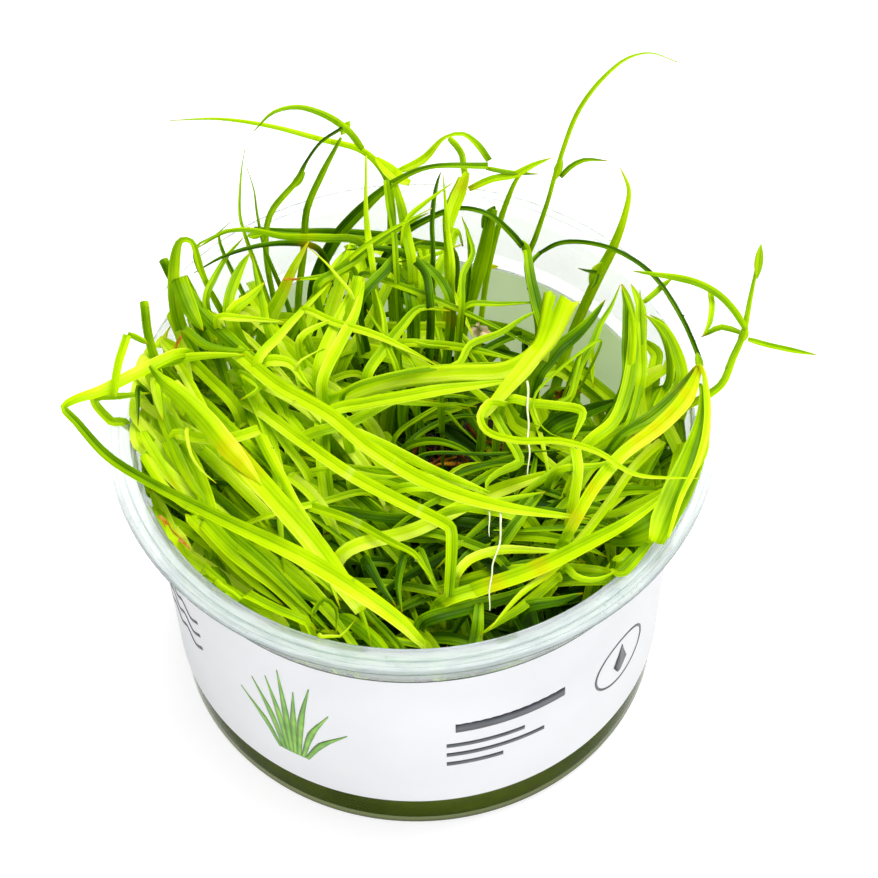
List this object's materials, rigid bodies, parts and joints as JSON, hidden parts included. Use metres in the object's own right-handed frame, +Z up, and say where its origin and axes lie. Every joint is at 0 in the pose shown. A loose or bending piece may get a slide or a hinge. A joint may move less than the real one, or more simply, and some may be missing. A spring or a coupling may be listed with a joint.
{
  "type": "tissue culture lesser creeping rush",
  "caption": "Tissue culture lesser creeping rush: a dense tangle of flat green leaves growing from gel in a round clear plastic cup with a rolled rim and a label band.",
  "frame": {"origin": "centre of the cup's round base, on the plane it stands on", "axes": "+Z up along the cup's axis; -Y towards the front of the label; +X to the right as seen from the front"},
  "size_m": [0.1221, 0.1, 0.108],
  "materials": {
    "clear_plastic": "clear, glossy, moulded, with fine droplets",
    "label_film": "smooth white film with a plain grey design",
    "growth_gel": "wet olive gel behind the clear wall",
    "root_mat": "matted roots and old leaf bases",
    "leaf": "satin, bright yellow-green, fine lengthwise veins",
    "old_leaf": "satin, deep green, shaded",
    "young_leaf": "satin, yellow-green, papery where torn"
  },
  "bodies": {
    "root": {"back_cross_leaf": "leaf", "bright_stem": "leaf", "bud_stem": "leaf", "cup": "clear_plastic", "curved_bright_leaf": "leaf", "dark_arch_leaf": "old_leaf", "dark_left_blade": "old_leaf", "front_left_leaf": "leaf", "front_right_leaf": "leaf", "growth_gel": "growth_gel", "hollow_arch_leaf": "leaf", "jointed_leaf": "leaf", "kinked_leaf": "leaf", "label": "label_film", "leaf_tuft_1": "leaf", "leaf_tuft_2": "leaf", "leaf_tuft_3": "leaf", "leaf_tuft_4": "leaf", "leaf_tuft_5": "leaf", "leaf_tuft_6": "leaf", "leaf_tuft_7": "leaf", "leaf_tuft_8": "leaf", "left_arch_leaf": "leaf", "left_bent_leaf": "leaf", "left_cross_leaf": "leaf", "left_cut_leaf": "leaf", "left_dark_stem": "old_leaf", "left_folded_leaf": "leaf", "left_green_stem": "leaf", "left_mid_leaf": "leaf", "left_outer_leaf": "leaf", "left_rising_leaf": "leaf", "left_spike": "leaf", "long_bent_leaf": "leaf", "long_left_leaf": "leaf", "long_mid_leaf": "leaf", "long_rising_leaf": "leaf", "looping_leaf": "leaf", "mid_arch_leaf": "leaf", "mid_dark_arch": "old_leaf", "mid_left_blade": "leaf", "pale_stem": "leaf", "right_arch_blade": "leaf", "right_dark_arch": "old_leaf", "right_inner_leaf": "leaf", "right_low_leaf": "leaf", "right_short_leaf": "leaf", "right_upper_leaf": "leaf", "right_wide_leaf": "leaf", "root_mat": "root_mat", "tall_arch_leaf": "leaf", "tall_side_leaf": "leaf", "thick_stem": "leaf", "torn_wide_blade": "young_leaf", "upright_leaf": "leaf", "wide_left_leaf": "young_leaf", "yellow_leaf": "young_leaf"}
  },
  "joints": []
}
